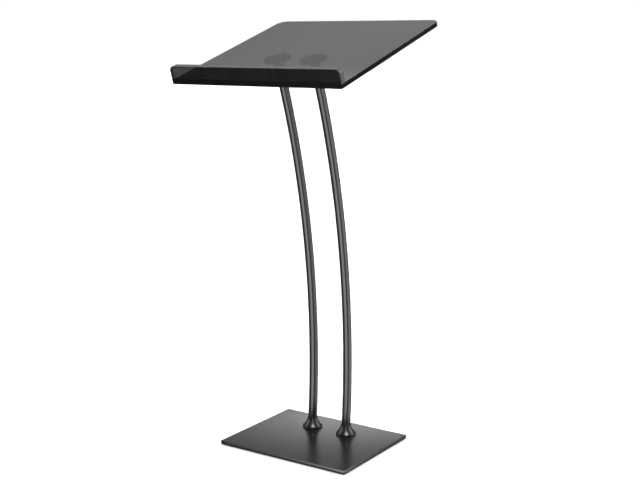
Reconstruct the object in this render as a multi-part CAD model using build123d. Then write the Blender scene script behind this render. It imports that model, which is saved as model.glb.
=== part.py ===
from build123d import *

import os
from math import asin, cos, degrees, hypot, radians, sin, sqrt

os.makedirs("parts", exist_ok=True)

# Lectern stand: a sloping acrylic reading desk on two bowed steel poles, on a flat steel base plate.
# Millimetres and degrees. X is to the reader's right, Y away from the reader and Z up.
# The reader stands at -Y and looks along +Y.

# Overall
OVERALL_HEIGHT = 1170.0     # floor to the highest edge of the desk

# Desk panel and the book stop bonded on its lower edge
DESK_WIDTH = 522.0
DESK_DEPTH = 512.0          # along the slope
DESK_THICKNESS = 12.0
DESK_TILT = 17.6            # from level, falling towards the reader
DESK_CORNER = 26.0          # radius of the two far corners
STOP_HEIGHT = 36.5          # above the desk's face
STOP_THICKNESS = 18.0
STOP_CORNER = 13.0          # radius of its two upper outer corners
ACRYLIC_ARRIS = 0.6         # polished chamfer on the acrylic's edges

# Base plate and its pads
BASE_WIDTH = 410.0
BASE_DEPTH = 328.0
BASE_THICKNESS = 10.0
BASE_ARRIS = 0.5
PAD_DIAMETER = 25.0
PAD_THICKNESS = 2.0
PAD_INSET = 22.0            # from the plate's edges to the pad's centre

# Poles: round tubes that lean back at the foot and bow forward to the desk
POLE_DIAMETER = 25.4
POLE_WALL = 2.0
POLE_SPACING = 114.6        # between the two centrelines
POLE_FOOT_SETBACK = 74.7    # behind the plate's middle, at the plate's face
POLE_FOOT_LEAN = 4.86
POLE_BEND_RADIUS = 2289.0
POLE_DESK_SETBACK = 193.0   # up the slope from the desk's lower edge
WELD_LEG = 1.8
WELD_CROWN = 0.4            # width of a weld bead where it runs out on the tube

# Foot flanges: discs welded under the poles and screwed down into the plate
FOOT_FLANGE_THICKNESS = 4.0
FOOT_SCREW_COUNT = 4
FOOT_SCREW_DIAMETER = 4.0
FOOT_SCREW_HEAD = 7.8
FOOT_SCREW_LENGTH = 12.0
FOOT_SCREW_KEY = 2.5        # hexagon across flats
FOOT_SCREW_LAND = 0.9       # flange left outside each head
FOOT_SCREW_GAP = 0.3        # flange left between the weld and each head

# Conical covers that sit over the foot flanges and lift up the poles
COVER_RIM_CLEARANCE = 1.9   # radial, round the foot flange
COVER_RIM_HEIGHT = 4.5
COVER_RIM_ROUND = 1.5
COVER_HEIGHT = 28.5
COVER_NECK_LAND = 1.0
COVER_FLARE_SAG = 2.0       # hollow of the flare from its chord
COVER_WALL = 1.2
COVER_BORE_CLEARANCE = 0.4  # radial, between the neck and the pole
COVER_LIFT = 50.0           # travel that bares the foot screws

# Top flanges: discs welded on the poles and screwed up into the desk
TOP_FLANGE_DIAMETER = 72.0
TOP_FLANGE_THICKNESS = 5.0
GASKET_THICKNESS = 1.0
TOP_SCREW_COUNT = 4
TOP_SCREW_DIAMETER = 5.0
TOP_SCREW_HEAD = 9.5
TOP_SCREW_HEAD_HEIGHT = 2.75
TOP_SCREW_HEAD_ROUND = 2.0
TOP_SCREW_LENGTH = 12.0
TOP_SCREW_KEY = 3.0
TOP_SCREW_LAND = 4.0        # flange left outside each washer
WASHER_DIAMETER = 10.0
WASHER_THICKNESS = 1.0
INSERT_DIAMETER = 7.0
INSERT_LENGTH = 8.0
INSERT_HOLE_BOTTOM = 0.5    # blind hole left above the insert

# Fits and small edges
THREAD_CLEARANCE = 0.05     # radial, screw in its thread and insert in its hole
HOLE_CLEARANCE = 0.25       # radial, screw through a plain hole
FLANGE_ARRIS = 0.5
KEY_DEPTH = 1.4             # depth of the hexagon sockets

# Derived places
POLE_RADIUS = POLE_DIAMETER / 2
BASE_TOP = PAD_THICKNESS + BASE_THICKNESS
FOOT_FLANGE_TOP = BASE_TOP + FOOT_FLANGE_THICKNESS
BEND_CENTRE_Y = POLE_FOOT_SETBACK - POLE_BEND_RADIUS * cos(radians(POLE_FOOT_LEAN))
BEND_CENTRE_Z = BASE_TOP + POLE_BEND_RADIUS * sin(radians(POLE_FOOT_LEAN))
COVER_BORE_RADIUS = POLE_RADIUS + COVER_BORE_CLEARANCE
NECK_HEIGHT = BASE_TOP + COVER_HEIGHT - COVER_NECK_LAND / 2
TOP_SCREW_CIRCLE = TOP_FLANGE_DIAMETER / 2 - TOP_SCREW_LAND - WASHER_DIAMETER / 2
TOP_FLANGE_FACE = -GASKET_THICKNESS - TOP_FLANGE_THICKNESS  # lower face, in the desk's frame
SIDES = {"left": -POLE_SPACING / 2, "right": POLE_SPACING / 2}


def bend_angle(height):
    """Angle round the bend, from level, at which the pole's centreline reaches a height."""
    return degrees(asin((height - BEND_CENTRE_Z) / POLE_BEND_RADIUS))


def pole_y(height):
    """Distance of the pole's centreline behind the plate's middle at a height."""
    return BEND_CENTRE_Y + POLE_BEND_RADIUS * cos(radians(bend_angle(height)))


def desk_frame():
    """Origin in the middle of the desk's lower front edge, Y up the slope, Z out of its face."""
    rise = sin(radians(DESK_TILT))
    run = cos(radians(DESK_TILT))
    edge_z = OVERALL_HEIGHT - DESK_DEPTH * rise - DESK_THICKNESS * run
    edge_y = pole_y(edge_z + POLE_DESK_SETBACK * rise) - POLE_DESK_SETBACK * run
    return Plane(origin=(0, edge_y, edge_z), x_dir=(1, 0, 0), z_dir=(0, -rise, run)).location


DESK = desk_frame()
FOOT_Y = pole_y(NECK_HEIGHT)  # the foot flange and the cover share this upright axis
WELD_REACH = FOOT_Y - pole_y(FOOT_FLANGE_TOP) + POLE_RADIUS + WELD_LEG
FOOT_SCREW_CIRCLE = WELD_REACH + FOOT_SCREW_GAP + FOOT_SCREW_HEAD / 2
FOOT_FLANGE_RADIUS = FOOT_SCREW_CIRCLE + FOOT_SCREW_HEAD / 2 + FOOT_SCREW_LAND
COVER_RIM_RADIUS = FOOT_FLANGE_RADIUS + COVER_RIM_CLEARANCE + COVER_WALL


def foot_frame(x):
    """Origin on the base plate's face, on the axis of the foot flange and the cover."""
    return Location((x, FOOT_Y, BASE_TOP))


def top_frame(x):
    """Origin on the desk's underside, where the pole's centreline meets it."""
    return DESK * Location((x, POLE_DESK_SETBACK, 0))


def screw_circle(radius, count):
    """Places round a circle, with the first midway between the X and Y axes."""
    return PolarLocations(radius, count, start_angle=45)


def hex_socket(across_flats):
    """Cutter for a hexagon socket whose mouth is at the origin, going down."""
    return extrude(RegularPolygon(across_flats / 2, 6, major_radius=False), amount=-KEY_DEPTH)


def foot_screw():
    """Countersunk screw with the top of its head at the origin, pointing down."""
    radius = FOOT_SCREW_DIAMETER / 2
    head_height = FOOT_SCREW_HEAD / 2 - radius
    top = (Align.CENTER, Align.CENTER, Align.MAX)
    shank = Cylinder(radius, FOOT_SCREW_LENGTH, align=top)
    head = Cone(radius, FOOT_SCREW_HEAD / 2, head_height, align=top)
    return shank + head - hex_socket(FOOT_SCREW_KEY)


def foot_screw_hole():
    """Countersunk hole for a foot screw, with its mouth at the origin."""
    radius = FOOT_SCREW_DIAMETER / 2 + HOLE_CLEARANCE
    mouth = FOOT_SCREW_HEAD / 2 + THREAD_CLEARANCE
    top = (Align.CENTER, Align.CENTER, Align.MAX)
    return Cylinder(radius, FOOT_FLANGE_THICKNESS, align=top) + Cone(radius, mouth, mouth - radius, align=top)


def top_screw():
    """Button-head screw with its head's seat at the origin, pointing up."""
    head = Cylinder(
        TOP_SCREW_HEAD / 2, TOP_SCREW_HEAD_HEIGHT, align=(Align.CENTER, Align.CENTER, Align.MAX)
    )
    head = fillet(head.edges().sort_by(Axis.Z)[0], TOP_SCREW_HEAD_ROUND)
    shank = Cylinder(
        TOP_SCREW_DIAMETER / 2, TOP_SCREW_LENGTH, align=(Align.CENTER, Align.CENTER, Align.MIN)
    )
    socket = Location((0, 0, -TOP_SCREW_HEAD_HEIGHT), (180, 0, 0)) * hex_socket(TOP_SCREW_KEY)
    return shank + head - socket


def rod(x, radius):
    """Solid round bar along a pole's centreline, running a little past both of its ends."""
    past = degrees(POLE_DIAMETER / POLE_BEND_RADIUS)
    start = bend_angle(FOOT_FLANGE_TOP) - past
    end = bend_angle((top_frame(x)).position.Z) + past
    section = Plane(
        origin=(
            x,
            BEND_CENTRE_Y + POLE_BEND_RADIUS * cos(radians(start)),
            BEND_CENTRE_Z + POLE_BEND_RADIUS * sin(radians(start)),
        ),
        x_dir=(1, 0, 0),
        z_dir=(0, -sin(radians(start)), cos(radians(start))),
    )
    bend_axis = Axis((x, BEND_CENTRE_Y, BEND_CENTRE_Z), (1, 0, 0))
    return revolve(section * Circle(radius), axis=bend_axis, revolution_arc=end - start)


def pole(x):
    """Tube cut level on the foot flange and parallel to the desk under the top flange."""
    tube = rod(x, POLE_RADIUS) - rod(x, POLE_RADIUS - POLE_WALL)
    tube = split(tube, bisect_by=Plane(origin=(0, 0, FOOT_FLANGE_TOP)), keep=Keep.TOP)
    top_cut = Plane(top_frame(x) * Location((0, 0, TOP_FLANGE_FACE)))
    return split(tube, bisect_by=top_cut, keep=Keep.BOTTOM)


def weld_bead(seat, x):
    """Fillet weld round a pole, on the flange face at seat, whose Z points along the pole."""
    bead = Cone(
        POLE_RADIUS + WELD_LEG,
        POLE_RADIUS + WELD_CROWN,
        WELD_LEG,
        align=(Align.CENTER, Align.CENTER, Align.MIN),
    )
    return seat * bead - rod(x, POLE_RADIUS)


def foot_flange(x):
    """Disc under a pole, with countersunk holes and the weld that holds the pole."""
    disc = Cylinder(
        FOOT_FLANGE_RADIUS, FOOT_FLANGE_THICKNESS, align=(Align.CENTER, Align.CENTER, Align.MIN)
    )
    disc = chamfer(disc.edges().sort_by(Axis.Z)[-1], FLANGE_ARRIS)
    for place in screw_circle(FOOT_SCREW_CIRCLE, FOOT_SCREW_COUNT):
        disc -= Location((0, 0, FOOT_FLANGE_THICKNESS)) * place * foot_screw_hole()
    seat = Location((x, pole_y(FOOT_FLANGE_TOP), FOOT_FLANGE_TOP))
    return foot_frame(x) * disc + weld_bead(seat, x)


def top_flange(x):
    """Disc on top of a pole, parallel to the desk, with plain holes and the pole's weld."""
    disc = Cylinder(
        TOP_FLANGE_DIAMETER / 2, TOP_FLANGE_THICKNESS, align=(Align.CENTER, Align.CENTER, Align.MIN)
    )
    disc = chamfer(disc.edges().sort_by(Axis.Z)[0], FLANGE_ARRIS)
    hole = Cylinder(
        TOP_SCREW_DIAMETER / 2 + HOLE_CLEARANCE,
        TOP_FLANGE_THICKNESS,
        align=(Align.CENTER, Align.CENTER, Align.MIN),
    )
    for place in screw_circle(TOP_SCREW_CIRCLE, TOP_SCREW_COUNT):
        disc -= place * hole
    lower_face = top_frame(x) * Location((0, 0, TOP_FLANGE_FACE))
    return lower_face * disc + weld_bead(pole_end(x) * Location((0, 0, 0), (180, 0, 0)), x)


def pole_end(x):
    """Frame on the top flange's lower face, where the pole's centreline meets it."""
    face = top_frame(x) * Location((0, 0, TOP_FLANGE_FACE))
    lean = bend_angle(top_frame(x).position.Z) - DESK_TILT
    return face * Location((0, sin(radians(lean)) * -TOP_FLANGE_FACE, 0))


def gasket(x):
    """Thin disc between the top flange and the acrylic, with a hole for each screw."""
    disc = Cylinder(
        TOP_FLANGE_DIAMETER / 2, GASKET_THICKNESS, align=(Align.CENTER, Align.CENTER, Align.MAX)
    )
    hole = Cylinder(
        TOP_SCREW_DIAMETER / 2 + HOLE_CLEARANCE,
        GASKET_THICKNESS,
        align=(Align.CENTER, Align.CENTER, Align.MAX),
    )
    for place in screw_circle(TOP_SCREW_CIRCLE, TOP_SCREW_COUNT):
        disc -= place * hole
    return top_frame(x) * disc


def washer():
    """Plain washer whose upper face is at the origin."""
    ring = Cylinder(WASHER_DIAMETER / 2, WASHER_THICKNESS, align=(Align.CENTER, Align.CENTER, Align.MAX))
    bore = Cylinder(
        TOP_SCREW_DIAMETER / 2 + HOLE_CLEARANCE,
        WASHER_THICKNESS,
        align=(Align.CENTER, Align.CENTER, Align.MAX),
    )
    return ring - bore


def insert():
    """Threaded sleeve whose lower end is at the origin, going up into the desk."""
    sleeve = Cylinder(INSERT_DIAMETER / 2, INSERT_LENGTH, align=(Align.CENTER, Align.CENTER, Align.MIN))
    bore = Cylinder(
        TOP_SCREW_DIAMETER / 2 + THREAD_CLEARANCE,
        INSERT_LENGTH,
        align=(Align.CENTER, Align.CENTER, Align.MIN),
    )
    return sleeve - bore


def on_foot_circle(x, shape, height):
    """Copies of a shape on a foot flange's screw circle, at a height above the plate."""
    level = foot_frame(x) * Location((0, 0, height))
    return [level * place * shape for place in screw_circle(FOOT_SCREW_CIRCLE, FOOT_SCREW_COUNT)]


def on_top_circle(x, shape, depth):
    """Copies of a shape on a top flange's screw circle, at a depth below the desk."""
    level = top_frame(x) * Location((0, 0, -depth))
    return [level * place * shape for place in screw_circle(TOP_SCREW_CIRCLE, TOP_SCREW_COUNT)]


def cover_blank(inset):
    """Solid inside the cover's outer surface moved inwards by inset, for the height of the cover."""
    rim = COVER_RIM_RADIUS
    neck = COVER_BORE_RADIUS + COVER_WALL
    width = rim - neck
    height = COVER_HEIGHT - COVER_NECK_LAND - COVER_RIM_HEIGHT
    chord = hypot(width, height)
    radius = chord**2 / (8 * COVER_FLARE_SAG) + COVER_FLARE_SAG / 2
    reach = (radius - COVER_FLARE_SAG) / chord
    centre_r = (rim + neck) / 2 + reach * height
    centre_z = COVER_RIM_HEIGHT + height / 2 + reach * width

    def flare_point(r):
        return (r, centre_z - sqrt((radius + inset) ** 2 - (centre_r - r) ** 2))

    outline = (
        Polyline((neck - inset, COVER_HEIGHT), (0, COVER_HEIGHT), (0, 0), (rim - inset, 0))
        + Line((rim - inset, 0), flare_point(rim - inset))
        + RadiusArc(flare_point(rim - inset), flare_point(neck - inset), radius + inset)
        + Line(flare_point(neck - inset), (neck - inset, COVER_HEIGHT))
    )
    return revolve(Plane.XZ * make_face(outline), axis=Axis.Z)


def cover(x):
    """Thin conical cover, open below, whose neck runs on the pole."""
    outside = cover_blank(0)
    shoulder = outside.edges().filter_by(GeomType.CIRCLE).sort_by(Axis.Z)[1]
    shell = fillet(shoulder, COVER_RIM_ROUND) - cover_blank(COVER_WALL)
    return foot_frame(x) * shell


def base_plate():
    """Flat plate with rounded arrises and a tapped hole for each foot screw."""
    plate = Box(BASE_WIDTH, BASE_DEPTH, BASE_THICKNESS, align=(Align.CENTER, Align.CENTER, Align.MAX))
    plate = fillet(plate.edges(), BASE_ARRIS)
    plate = Location((0, 0, BASE_TOP)) * plate
    tapped = Cylinder(
        FOOT_SCREW_DIAMETER / 2 + THREAD_CLEARANCE,
        BASE_THICKNESS,
        align=(Align.CENTER, Align.CENTER, Align.MAX),
    )
    for x in SIDES.values():
        for hole in on_foot_circle(x, tapped, 0):
            plate -= hole
    return plate


def pad(side, end):
    """Floor pad near one corner of the plate; side and end are -1 or 1."""
    x = side * (BASE_WIDTH / 2 - PAD_INSET)
    y = end * (BASE_DEPTH / 2 - PAD_INSET)
    disc = Cylinder(PAD_DIAMETER / 2, PAD_THICKNESS, align=(Align.CENTER, Align.CENTER, Align.MIN))
    return Location((x, y, 0)) * disc


def desk_panel():
    """Acrylic panel with two round far corners and blind holes for the inserts."""
    panel = Box(DESK_WIDTH, DESK_DEPTH, DESK_THICKNESS, align=(Align.CENTER, Align.MIN, Align.MIN))
    far_corners = panel.edges().filter_by(Axis.Z).sort_by(Axis.Y)[-2:]
    panel = fillet(far_corners, DESK_CORNER)
    under_edges = panel.faces().sort_by(Axis.Z)[0].edges()
    face_edges = panel.faces().sort_by(Axis.Z)[-1].edges().sort_by(Axis.Y)[1:]
    panel = chamfer(under_edges + face_edges, ACRYLIC_ARRIS)
    panel = DESK * panel
    blind_hole = Cylinder(
        INSERT_DIAMETER / 2 + THREAD_CLEARANCE,
        INSERT_LENGTH + INSERT_HOLE_BOTTOM,
        align=(Align.CENTER, Align.CENTER, Align.MIN),
    )
    for x in SIDES.values():
        for hole in on_top_circle(x, blind_hole, 0):
            panel -= hole
    return panel


def book_stop():
    """Acrylic strip that stands square on the panel, flush with its lower edge and its ends."""
    strip = Box(DESK_WIDTH, STOP_THICKNESS, STOP_HEIGHT, align=(Align.CENTER, Align.MIN, Align.MIN))
    upper_corners = strip.edges().filter_by(Axis.Y).sort_by(Axis.Z)[-2:]
    strip = fillet(upper_corners, STOP_CORNER)
    sides = strip.faces().filter_by(Axis.Y)
    outer_edges = [edge for side in sides for edge in side.edges().sort_by(Axis.Z)[1:]]
    strip = chamfer(outer_edges, ACRYLIC_ARRIS)
    return DESK * Location((0, 0, DESK_THICKNESS)) * strip


def all_pieces():
    """Every node's name with its solids, in the frame of the base plate's middle."""
    under_flange = GASKET_THICKNESS + TOP_FLANGE_THICKNESS
    pieces = {
        "base_plate": [base_plate()],
        "desk_panel": [desk_panel()],
        "book_stop": [book_stop()],
    }
    for end_name, end in {"front": -1, "back": 1}.items():
        for side_name, side in {"left": -1, "right": 1}.items():
            pieces[f"pad_{end_name}_{side_name}"] = [pad(side, end)]
    for side_name, x in SIDES.items():
        pieces[f"{side_name}_pole"] = [pole(x)]
        pieces[f"{side_name}_foot_flange"] = [foot_flange(x)]
        pieces[f"{side_name}_foot_screws"] = on_foot_circle(x, foot_screw(), FOOT_FLANGE_THICKNESS)
        pieces[f"{side_name}_cover"] = [cover(x)]
        pieces[f"{side_name}_top_flange"] = [top_flange(x)]
        pieces[f"{side_name}_gasket"] = [gasket(x)]
        pieces[f"{side_name}_washers"] = on_top_circle(x, washer(), under_flange)
        pieces[f"{side_name}_top_screws"] = on_top_circle(x, top_screw(), under_flange + WASHER_THICKNESS)
        pieces[f"{side_name}_inserts"] = on_top_circle(x, insert(), 0)
    return pieces


def main():
    """Stand the pieces on the floor under the middle of their outline and write them."""
    pieces = all_pieces()
    outline = Compound(children=[solid for group in pieces.values() for solid in group]).bounding_box()
    middle = Location((-outline.center().X, -outline.center().Y, -outline.min.Z))
    for name, group in pieces.items():
        node = Compound(children=[middle * solid for solid in group])
        node.label = name
        export_step(node, f"parts/{name}.step")
    travel_y = pole_y(NECK_HEIGHT + COVER_LIFT) - FOOT_Y
    print("outline", outline.size, "moved", middle.position)
    print("cover slide axis", (Vector(0, travel_y, COVER_LIFT)).normalized())
    print("foot axis y", FOOT_Y + middle.position.Y, "desk", (middle * DESK).position)


main()
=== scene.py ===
from math import cos, pi, radians, sin

import bmesh
import bpy
from mathutils import Matrix, Vector


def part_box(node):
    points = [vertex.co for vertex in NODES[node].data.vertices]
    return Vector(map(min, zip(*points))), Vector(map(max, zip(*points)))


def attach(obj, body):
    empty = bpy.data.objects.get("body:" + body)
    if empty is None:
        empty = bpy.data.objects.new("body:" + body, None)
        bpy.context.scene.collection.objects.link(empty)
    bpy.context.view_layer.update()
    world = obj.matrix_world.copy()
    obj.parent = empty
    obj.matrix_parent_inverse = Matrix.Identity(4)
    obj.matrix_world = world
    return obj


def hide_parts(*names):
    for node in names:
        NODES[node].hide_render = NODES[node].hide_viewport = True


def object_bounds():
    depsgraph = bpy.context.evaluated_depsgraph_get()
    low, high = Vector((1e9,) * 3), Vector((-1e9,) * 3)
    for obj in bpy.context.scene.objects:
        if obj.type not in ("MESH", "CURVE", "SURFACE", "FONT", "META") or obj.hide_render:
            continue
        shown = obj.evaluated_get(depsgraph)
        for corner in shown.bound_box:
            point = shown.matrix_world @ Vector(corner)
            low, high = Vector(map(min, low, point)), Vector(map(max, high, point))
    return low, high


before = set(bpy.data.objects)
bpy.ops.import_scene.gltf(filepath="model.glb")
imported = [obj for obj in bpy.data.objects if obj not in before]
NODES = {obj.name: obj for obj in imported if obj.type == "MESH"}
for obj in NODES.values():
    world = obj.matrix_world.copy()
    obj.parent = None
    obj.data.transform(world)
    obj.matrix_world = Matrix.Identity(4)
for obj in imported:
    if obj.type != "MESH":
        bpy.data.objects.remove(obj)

CAD_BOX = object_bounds()

# ---------------------------------------------------------------------------------------------
# Sizes and places in metres, angles in degrees.

# Camera: where it looks from, and its target to the right of the outline's middle, beyond it and up
CAMERA_AZIMUTH = 33.73
CAMERA_ELEVATION = 10.21
CAMERA_DISTANCE = 3.0617
TARGET_RIGHT = 0.01966
TARGET_BEYOND = 0.0305
TARGET_HEIGHT = 0.58054
CAMERA_LENS = 63.23       # mm
SENSOR_WIDTH = 36.0       # mm

# Acrylic desk: the panel and the book stop, bonded into one clear body
DESK_TILT = 17.6
PANEL_THICKNESS = 0.012
PANEL_CORNER = 0.026
STOP_HEIGHT = 0.0365
STOP_CORNER = 0.013
STOP_THICKNESS = 0.018
ARRIS = 0.0006
GASKET_GAP = 0.00004      # the dry contact between the acrylic and the gaskets
ARC_STEPS = 16
ACRYLIC_IOR = 1.49
SMOKE_DENSITY = 172.0     # absorption per metre

# The roughness of a material spreads over this range of its noise
NOISE_LOW = 0.3
NOISE_HIGH = 0.7

# The floor's side, and the radius of the dome that carries the lights for the poles and the covers
FLOOR_SIZE = 60
DOME_RADIUS = 60

# Soft round lights and shades in the studio. Each row is the azimuth and elevation of the middle, the
# angle from the middle where it starts to fade, the angle where it is gone, and its level.
# Azimuth 0 is the reader's side and 90 the right.
OVERHEAD_LIGHTS = (
    (-60, 25, 8, 28, 2.0),
    (122, 27, 8, 30, 2.8),
    (34, 24, 5, 18, 1.2),
    (38, 50, 6, 20, 2.0),
    (41, 60, 4, 14, 5.0),
    (42, 70, 6, 16, 11.0),
)
SIDE_STRIPS = (
    (7, 0, 12, 40, 4.4),
    (103, 0, 10, 40, 2.7),
    (218, 0, 8, 34, 2.2),
)
SIDE_SPOTS = (
    (38, 10, 6, 20, 1.1),
    (98, 10, 6, 22, 1.2),
)
FLOOR_LIGHT = (214, 27, 8, 30, 12.0)
WALL_SHADE = (-75, 0, 20, 50, 0.75)
CEILING_SHADE = (-57, 53, 16, 30, 0.9)
SKY_SHADE = (90, 5, 25, 75, 0.85)

# Levels that change with the elevation: two elevations and the level at each
LOW_WALLS = (-8, -2, 0.33, 0.12)
HIGH_WALLS = (22, 30, 0.05, 0.42)
STRIPS_START = (-80, -65, 0, 1)
STRIPS_END = (-5, -2, 1, 0)

# Light that the floor gets from the horizon and from straight above
HORIZON_LEVEL = 0.28
ZENITH_LEVEL = 0.7

# Glowing card that stands behind the base plate. Its glow is a bell curve, with a middle and a width
# to the camera's right and up.
BACK_CARD_DISTANCE = 0.5
BACK_CARD_WIDTH = 1.8
BACK_CARD_HEIGHT = 0.5
BACK_GLOW_ACROSS = (0.16, 0.39)
BACK_GLOW_UP = (0.123, 0.070)
BACK_GLOW = 1.85

# Glowing cards on the floor along the plate's two near edges: the level all along, the level added at
# the near corner, the length in which that fades, and how far from the plate the glow starts
FLOOR_CARD_DEPTH = 0.06
FRONT_GLOW = (0.25, 7.1, 0.19, 0.012)
RIGHT_GLOW = (0.35, 3.9, 0.08, 0.0085)
GLOW_RISE = 1.7           # the glow is full this many times as far from the plate as it starts


# ---------------------------------------------------------------------------------------------
# Helpers

def sides(*names):
    """Left and right node names."""
    return [f"{side}_{name}" for side in ("left", "right") for name in names]


def towards(azimuth, elevation=0.0):
    """Unit vector to a place in the studio; azimuth 0 is the reader's side and 90 the right."""
    a, e = radians(azimuth), radians(elevation)
    return (sin(a) * cos(e), -cos(a) * cos(e), sin(e))


def new_material(name):
    """An empty node material, its node tree and its output."""
    material = bpy.data.materials.new(name)
    material.use_nodes = True
    tree = material.node_tree
    tree.nodes.clear()
    output = tree.nodes.new("ShaderNodeOutputMaterial")
    return material, tree, output


def fill_socket(tree, socket, value):
    """Links another node's output to a socket, or sets a value on it."""
    if isinstance(value, bpy.types.NodeSocket):
        tree.links.new(value, socket)
    else:
        socket.default_value = value


def node(tree, kind, **inputs):
    """A node with values or links on its inputs by name."""
    made = tree.nodes.new(kind)
    for name, value in inputs.items():
        fill_socket(tree, made.inputs[name.replace("_", " ")], value)
    return made


def math(tree, operation, a, b=0.0):
    """Output of a math node."""
    made = tree.nodes.new("ShaderNodeMath")
    made.operation = operation
    fill_socket(tree, made.inputs[0], a)
    fill_socket(tree, made.inputs[1], b)
    return made.outputs[0]


def total(tree, *levels):
    """Sum of several levels."""
    result = levels[0]
    for level in levels[1:]:
        result = math(tree, "ADD", result, level)
    return result


def shaded(tree, level, shade):
    """A level that a shade of 1 puts out."""
    return math(tree, "MULTIPLY", level, math(tree, "SUBTRACT", 1.0, shade))


def vector_math(tree, operation, vector, other=None):
    """Vector math node on a vector and, where the operation needs it, a constant one."""
    made = node(tree, "ShaderNodeVectorMath", Vector=vector)
    made.operation = operation
    if other is not None:
        made.inputs[1].default_value = other
    return made.outputs


def map_range(tree, value, low, high, to_low, to_high, smooth=False):
    """Output of a map range node, clamped."""
    made = node(tree, "ShaderNodeMapRange", Value=value, From_Min=low, From_Max=high,
                To_Min=to_low, To_Max=to_high)
    made.interpolation_type = "SMOOTHSTEP" if smooth else "LINEAR"
    return made.outputs["Result"]


def mix_shader(tree, factor, first, second):
    """Mix shader node: the first shader at factor 0 and the second at 1."""
    made = node(tree, "ShaderNodeMixShader", Fac=factor)
    tree.links.new(first.outputs[0], made.inputs[1])
    tree.links.new(second.outputs[0], made.inputs[2])
    return made


def noise(tree, scale, detail=2.0, roughness=0.5, stretch=(1, 1, 1)):
    """Noise over the object's own coordinates."""
    coords = tree.nodes.new("ShaderNodeTexCoord")
    mapping = node(tree, "ShaderNodeMapping", Vector=coords.outputs["Object"], Scale=stretch)
    texture = node(tree, "ShaderNodeTexNoise", Vector=mapping.outputs["Vector"],
                   Scale=scale, Detail=detail, Roughness=roughness)
    return texture.outputs["Fac"]


def two_tone(tree, factor, dark, light):
    """Colour between two tones."""
    ramp = node(tree, "ShaderNodeValToRGB", Fac=factor)
    ramp.color_ramp.elements[0].color = (*dark, 1)
    ramp.color_ramp.elements[1].color = (*light, 1)
    return ramp.outputs["Color"]


# ---------------------------------------------------------------------------------------------
# Materials

def opaque(name, grain, relief, strength, dark, light, roughness, cloud=None, metallic=0.0):
    """Opaque material with a bumpy grain, relief metres deep, two tones and a range of roughness.
    grain and cloud are settings of noise(). The tones follow the cloud, or the grain without one."""
    material, tree, output = new_material(name)
    fine = noise(tree, **grain)
    broad = noise(tree, **cloud) if cloud else fine
    if isinstance(roughness, tuple):
        roughness = map_range(tree, broad, NOISE_LOW, NOISE_HIGH, *roughness)
    bump = node(tree, "ShaderNodeBump", Height=fine, Distance=relief, Strength=strength)
    shader = node(tree, "ShaderNodeBsdfPrincipled", Base_Color=two_tone(tree, broad, dark, light),
                  Roughness=roughness, Metallic=metallic, Normal=bump.outputs["Normal"])
    tree.links.new(shader.outputs[0], output.inputs["Surface"])
    return material


def powder_coat():
    """Satin black powder coat: fine orange peel, faint mottling and dust."""
    return opaque("satin_black_powder_coat",
                  grain={"scale": 900},
                  cloud={"scale": 9, "detail": 4, "roughness": 0.6},
                  relief=0.00002, strength=0.35,
                  dark=(0.004, 0.004, 0.0042), light=(0.007, 0.007, 0.0072), roughness=(0.21, 0.26))


def black_enamel():
    """Gloss black enamel on the poles and covers, with a slight ripple along the tube."""
    return opaque("gloss_black_enamel",
                  grain={"scale": 60, "stretch": (1, 1, 0.15)},
                  cloud={"scale": 25, "detail": 3, "roughness": 0.6},
                  relief=0.00004, strength=0.3,
                  dark=(0.008, 0.008, 0.0083), light=(0.012, 0.012, 0.0125), roughness=(0.16, 0.21))


def sanded_acrylic():
    """Sanded ends and upper edge of the book stop: satin grey with fine scratches."""
    return opaque("sanded_acrylic",
                  grain={"scale": 900, "detail": 3, "stretch": (1, 1, 0.1)},
                  relief=0.00002, strength=0.5,
                  dark=(0.055, 0.055, 0.057), light=(0.085, 0.085, 0.087), roughness=(0.27, 0.35))


def rubber():
    """Matt black rubber with a fine grain."""
    return opaque("black_rubber",
                  grain={"scale": 1500, "detail": 3},
                  relief=0.00005, strength=0.6,
                  dark=(0.010, 0.010, 0.010), light=(0.022, 0.022, 0.022), roughness=0.75)


def metal(name, dark, light, roughness):
    """Bare or plated metal with fine turning marks."""
    return opaque(name,
                  grain={"scale": 700, "detail": 3, "stretch": (1, 1, 6)},
                  relief=0.00001, strength=0.4,
                  dark=dark, light=light, roughness=roughness, metallic=1.0)


def smoke_acrylic():
    """Clear polished acrylic with a neutral smoke tint held in its volume."""
    material, tree, output = new_material("smoke_acrylic")
    haze = noise(tree, 14, detail=5, roughness=0.65)
    shader = node(tree, "ShaderNodeBsdfPrincipled", Base_Color=(1, 1, 1, 1),
                  Roughness=map_range(tree, haze, 0.35, 0.75, 0.02, 0.05),
                  Transmission_Weight=1.0, IOR=ACRYLIC_IOR)
    volume = node(tree, "ShaderNodeVolumeAbsorption", Color=(0, 0, 0, 1), Density=SMOKE_DENSITY)
    tree.links.new(shader.outputs[0], output.inputs["Surface"])
    tree.links.new(volume.outputs[0], output.inputs["Volume"])
    return material


def paint(material, *names):
    """Gives CAD nodes a material."""
    for name in names:
        mesh = NODES[name].data
        mesh.materials.clear()
        mesh.materials.append(material)


# ---------------------------------------------------------------------------------------------
# Acrylic desk

def arc(centre, radius, start, end):
    """Points on a quarter circle."""
    cx, cy = centre
    angles = [start + (end - start) * i / ARC_STEPS for i in range(ARC_STEPS + 1)]
    return [(cx + radius * cos(a), cy + radius * sin(a)) for a in angles]


def rounded_end(side, end, radius):
    """Points round the two corners at the far end of a sheet, from its right side to its left."""
    return (arc((side - radius, end - radius), radius, 0, pi / 2)
            + arc((radius - side, end - radius), radius, pi / 2, pi))


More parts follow.
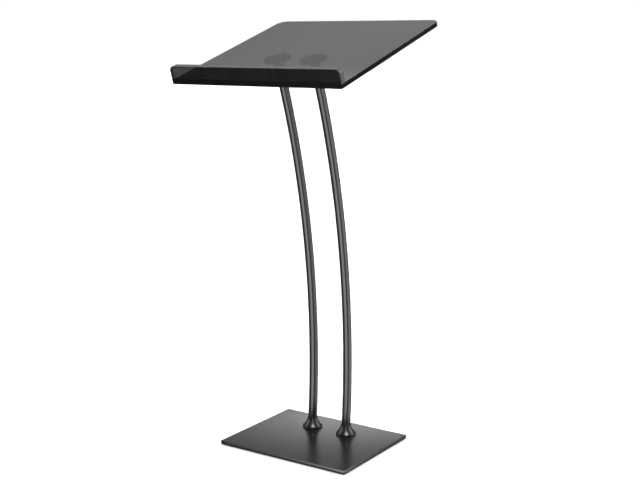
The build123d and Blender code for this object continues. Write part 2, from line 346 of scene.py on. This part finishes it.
def desk_place():
    """Frame of the desk, with its origin in the middle of its lower front edge and Y up the slope, and
    the desk's depth and width."""
    low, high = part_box("desk_panel")
    tilt = radians(DESK_TILT)
    rise = sin(tilt)
    run = cos(tilt)
    depth = ((high.y - low.y) - PANEL_THICKNESS * rise) / run
    edge = Vector((0, low.y + PANEL_THICKNESS * rise, high.z - depth * rise - PANEL_THICKNESS * run))
    return Matrix.Translation(edge) @ Matrix.Rotation(tilt, 4, "X"), depth, high.x - low.x


def desk_mesh(depth, width):
    """Panel and book stop as one closed body in the desk's frame. Material 1 is on the stop's two ends
    and upper edge, and material 0 on the rest."""
    side = width / 2
    mesh = bmesh.new()

    def sheet_points(outline, z):
        return [mesh.verts.new((x, y, z)) for x, y in outline]

    def stop_points(outline, y):
        return [mesh.verts.new((x, y, z)) for x, z in outline]

    far = rounded_end(side, depth, PANEL_CORNER)
    crown = rounded_end(side, PANEL_THICKNESS + STOP_HEIGHT, STOP_CORNER)
    under_far = sheet_points(far, GASKET_GAP)
    face_far = sheet_points(far, PANEL_THICKNESS)
    front_crown = stop_points(crown, 0)
    back_crown = stop_points(crown, STOP_THICKNESS)
    under_right, under_left = sheet_points([(side, 0), (-side, 0)], GASKET_GAP)
    root_right, root_left = sheet_points([(side, STOP_THICKNESS), (-side, STOP_THICKNESS)], PANEL_THICKNESS)
    seam_right, seam_left = sheet_points([(side, 0), (-side, 0)], PANEL_THICKNESS)

    mesh.faces.new([under_right, *under_far, under_left][::-1])
    mesh.faces.new([root_right, *face_far, root_left])
    mesh.faces.new([under_left, under_right, seam_right, *front_crown, seam_left])
    mesh.faces.new([root_right, root_left, *back_crown[::-1]])
    mesh.faces.new([under_right, under_far[0], face_far[0], root_right, seam_right])
    mesh.faces.new([under_left, seam_left, root_left, face_far[-1], under_far[-1]])
    for i in range(len(far) - 1):
        mesh.faces.new([under_far[i], under_far[i + 1], face_far[i + 1], face_far[i]])
    sanded = [mesh.faces.new([seam_right, root_right, back_crown[0], front_crown[0]]),
              mesh.faces.new([seam_left, front_crown[-1], back_crown[-1], root_left])]
    for i in range(len(crown) - 1):
        strip = [front_crown[i], front_crown[i + 1], back_crown[i + 1], back_crown[i]]
        sanded.append(mesh.faces.new(strip))
    for face in sanded:
        face.material_index = 1
    bmesh.ops.recalc_face_normals(mesh, faces=mesh.faces)
    return mesh


def acrylic_desk(polished, sanded):
    """The panel and the book stop in one piece, because their bonded joint lets light straight through.
    All of it is polished but the ends and the upper edge of the stop, which are sanded."""
    place, depth, width = desk_place()
    mesh = desk_mesh(depth, width)
    mesh.transform(place)
    data = bpy.data.meshes.new("acrylic_desk")
    mesh.to_mesh(data)
    mesh.free()
    for polygon in data.polygons:
        polygon.use_smooth = True
    desk = bpy.data.objects.new("acrylic_desk", data)
    bpy.context.scene.collection.objects.link(desk)
    bevel = desk.modifiers.new("polished arris", "BEVEL")
    bevel.width = ARRIS
    bevel.segments = 2
    bevel.limit_method = "ANGLE"
    bevel.angle_limit = radians(30)
    bevel.harden_normals = True
    data.materials.append(polished)
    data.materials.append(sanded)
    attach(desk, "stand")
    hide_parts("desk_panel", "book_stop")


# ---------------------------------------------------------------------------------------------
# Floor and studio

def floor():
    """White floor that the stand is seen on, clear from below. Reflections show the studio instead."""
    bpy.ops.mesh.primitive_plane_add(size=FLOOR_SIZE)
    plane = bpy.context.object
    plane.name = "floor"
    material, tree, output = new_material("white_floor")
    white = node(tree, "ShaderNodeBsdfDiffuse", Color=(0.9, 0.9, 0.9, 1))
    clear = tree.nodes.new("ShaderNodeBsdfTransparent")
    below = tree.nodes.new("ShaderNodeNewGeometry").outputs["Backfacing"]
    tree.links.new(mix_shader(tree, below, white, clear).outputs[0], output.inputs["Surface"])
    plane.data.materials.append(material)
    plane.visible_glossy = False


def spot(tree, direction, azimuth, elevation, inner, outer, level):
    """Soft round light or shade in a direction: full inside one angle from its middle, gone at another."""
    dot = vector_math(tree, "DOT_PRODUCT", direction, towards(azimuth, elevation))["Value"]
    return map_range(tree, dot, cos(radians(outer)), cos(radians(inner)), 0, level, smooth=True)


def spots(tree, direction, rows):
    """Sum of soft round lights."""
    return total(tree, *[spot(tree, direction, *row) for row in rows])


def by_elevation(tree, up, low, high, at_low, at_high):
    """Level that changes from one elevation to another."""
    return map_range(tree, up, sin(radians(low)), sin(radians(high)), at_low, at_high, smooth=True)


def levelled(tree, direction):
    """The direction turned level, as a unit vector."""
    flat = vector_math(tree, "MULTIPLY", direction, (1, 1, 0))["Vector"]
    return vector_math(tree, "NORMALIZE", flat)["Vector"]


def studio_levels(tree, direction, up):
    """What a glossy surface sees of the studio: soft grey walls with round lights overhead."""
    low_walls = shaded(tree, by_elevation(tree, up, *LOW_WALLS),
                       spot(tree, levelled(tree, direction), *WALL_SHADE))
    high_walls = shaded(tree, by_elevation(tree, up, *HIGH_WALLS), spot(tree, direction, *CEILING_SHADE))
    return total(tree, low_walls, high_walls, spots(tree, direction, OVERHEAD_LIGHTS))


def studio():
    """World: white for the eye, a softly lit grey studio in reflections, and light for the floor."""
    world = bpy.data.worlds.new("studio")
    bpy.context.scene.world = world
    world.use_nodes = True
    tree = world.node_tree
    tree.nodes.clear()
    direction = tree.nodes.new("ShaderNodeTexCoord").outputs["Generated"]
    up = node(tree, "ShaderNodeSeparateXYZ", Vector=direction).outputs["Z"]
    path = tree.nodes.new("ShaderNodeLightPath").outputs
    seen = math(tree, "MAXIMUM", path["Is Camera Ray"], path["Is Transmission Ray"])
    sky = map_range(tree, up, 0, 1, HORIZON_LEVEL, ZENITH_LEVEL)
    sky = shaded(tree, sky, spot(tree, direction, *SKY_SHADE))

    def background(level):
        return node(tree, "ShaderNodeBackground", Color=(1, 1, 1, 1), Strength=level)

    reflected = background(studio_levels(tree, direction, up))
    fill = background(math(tree, "ADD", sky, spot(tree, direction, *FLOOR_LIGHT)))
    unseen = mix_shader(tree, path["Is Diffuse Ray"], reflected, fill)
    output = tree.nodes.new("ShaderNodeOutputWorld")
    tree.links.new(mix_shader(tree, seen, unseen, background(1.0)).outputs[0], output.inputs["Surface"])


# ---------------------------------------------------------------------------------------------
# Lights that only some nodes see, in their reflections

def reflected_light(card, receivers, glow):
    """Makes a mesh glow in some nodes' reflections only; glow() gives its strength at a place on it."""
    material, tree, output = new_material(card.name + "_light")
    position = tree.nodes.new("ShaderNodeNewGeometry").outputs["Position"]
    emission = node(tree, "ShaderNodeEmission", Strength=glow(tree, position))
    clear = tree.nodes.new("ShaderNodeBsdfTransparent")
    add = tree.nodes.new("ShaderNodeAddShader")
    tree.links.new(emission.outputs[0], add.inputs[0])
    tree.links.new(clear.outputs[0], add.inputs[1])
    tree.links.new(add.outputs[0], output.inputs["Surface"])
    card.data.materials.append(material)
    for kind in ("camera", "diffuse", "transmission", "volume_scatter", "shadow"):
        setattr(card, "visible_" + kind, False)
    lit = bpy.data.collections.new("lit by " + card.name)
    for name in receivers:
        lit.objects.link(NODES[name])
    card.light_linking.receiver_collection = lit


def side_strips():
    """Lights round the poles and the covers, on a dome far away: three upright strips and two spots."""
    def glow(tree, position):
        direction = vector_math(tree, "NORMALIZE", position)["Vector"]
        up = node(tree, "ShaderNodeSeparateXYZ", Vector=direction).outputs["Z"]
        strips = spots(tree, levelled(tree, direction), SIDE_STRIPS)
        extent = math(tree, "MULTIPLY", by_elevation(tree, up, *STRIPS_START),
                      by_elevation(tree, up, *STRIPS_END))
        strips = math(tree, "MULTIPLY", strips, extent)
        return total(tree, strips, spots(tree, direction, SIDE_SPOTS))

    bpy.ops.mesh.primitive_uv_sphere_add(segments=64, ring_count=32, radius=DOME_RADIUS)
    dome = bpy.context.object
    dome.name = "side_strips"
    reflected_light(dome, sides("pole", "cover"), glow)
    dome.data.materials[0].cycles.emission_sampling = "NONE"


def plate_card(name, width, height, location, rotation, glow):
    """Glowing card seen only in the base plate's reflections."""
    bpy.ops.mesh.primitive_plane_add(size=1)
    card = bpy.context.object
    card.name = name
    card.scale = (width, height, 1)
    card.rotation_euler = rotation
    card.location = location
    reflected_light(card, ["base_plate"], glow)


def bell(tree, value, middle, width):
    """Bell curve of a value: 1 at its middle, 0.37 at its width."""
    offset = math(tree, "DIVIDE", math(tree, "SUBTRACT", value, middle), width)
    return math(tree, "EXPONENT", math(tree, "MULTIPLY", math(tree, "MULTIPLY", offset, offset), -1.0))


def measure(tree, position, origin, axis):
    """Distance from an origin along an axis."""
    along = vector_math(tree, "DOT_PRODUCT", position, axis)["Value"]
    return math(tree, "SUBTRACT", along, Vector(origin).dot(axis))


def back_card():
    """Card that stands behind the base and shades the plate's face from its far edge to its near corner."""
    def glow(tree, position):
        across = measure(tree, position, (0, 0, 0), towards(90 + CAMERA_AZIMUTH))
        height = measure(tree, position, (0, 0, 0), (0, 0, 1))
        both = math(tree, "MULTIPLY", bell(tree, across, *BACK_GLOW_ACROSS),
                    bell(tree, height, *BACK_GLOW_UP))
        return math(tree, "MULTIPLY", both, BACK_GLOW)

    place = Vector(towards(180 + CAMERA_AZIMUTH)) * BACK_CARD_DISTANCE
    place.z = BACK_CARD_HEIGHT / 2
    upright = (pi / 2, 0, radians(CAMERA_AZIMUTH))
    plate_card("back_card", BACK_CARD_WIDTH, BACK_CARD_HEIGHT, place, upright, glow)


def floor_card(name, levels, corner, run, out, length, turn):
    """Pale floor along one near edge of the plate, brightest at their corner and dark close to the plate.
    run points along the edge from that corner, and out away from the plate."""
    even, pool, fade, start = levels

    def glow(tree, position):
        along = measure(tree, position, corner, run)
        apart = measure(tree, position, corner, out)
        near_corner = math(tree, "EXPONENT", math(tree, "DIVIDE", along, -fade))
        level = math(tree, "ADD", math(tree, "MULTIPLY", near_corner, pool), even)
        return math(tree, "MULTIPLY", level,
                    map_range(tree, apart, start, GLOW_RISE * start, 0, 1, smooth=True))

    middle = corner + run * (length / 2) + out * (FLOOR_CARD_DEPTH / 2)
    plate_card(name, length, FLOOR_CARD_DEPTH, middle, (0, 0, turn), glow)


def floor_cards():
    """The cards on the floor along the plate's two near edges."""
    low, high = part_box("base_plate")
    corner = Vector((high.x, low.y, 0))
    right = Vector((1, 0, 0))
    away = Vector((0, 1, 0))
    floor_card("front_floor_card", FRONT_GLOW, corner, -right, -away, high.x - low.x, 0)
    floor_card("right_floor_card", RIGHT_GLOW, corner, away, right, high.y - low.y, pi / 2)


# ---------------------------------------------------------------------------------------------
# Camera

def camera():
    """Camera at the photograph's angle."""
    low, high = CAD_BOX
    target = Vector((TARGET_RIGHT, (low.y + high.y) / 2 + TARGET_BEYOND, TARGET_HEIGHT))
    back = Vector(towards(CAMERA_AZIMUTH, CAMERA_ELEVATION))
    data = bpy.data.cameras.new("camera")
    data.lens = CAMERA_LENS
    data.sensor_width = SENSOR_WIDTH
    view = bpy.data.objects.new("camera", data)
    bpy.context.scene.collection.objects.link(view)
    view.location = target + back * CAMERA_DISTANCE
    view.rotation_euler = (-back).to_track_quat("-Z", "Y").to_euler()
    bpy.context.scene.camera = view


# ---------------------------------------------------------------------------------------------

paint(powder_coat(), "base_plate", *sides("foot_flange", "top_flange"))
paint(black_enamel(), *sides("pole", "cover"))
paint(rubber(), *sides("gasket"), *[name for name in NODES if name.startswith("pad_")])
paint(metal("zinc_plate", (0.42, 0.42, 0.44), (0.60, 0.60, 0.62), (0.25, 0.40)),
      *sides("foot_screws", "washers", "top_screws"))
paint(metal("turned_brass", (0.60, 0.42, 0.16), (0.78, 0.58, 0.26), (0.22, 0.35)), *sides("inserts"))
acrylic_desk(smoke_acrylic(), sanded_acrylic())
floor()
studio()
side_strips()
back_card()
floor_cards()
camera()
bpy.context.scene.view_settings.view_transform = "Standard"
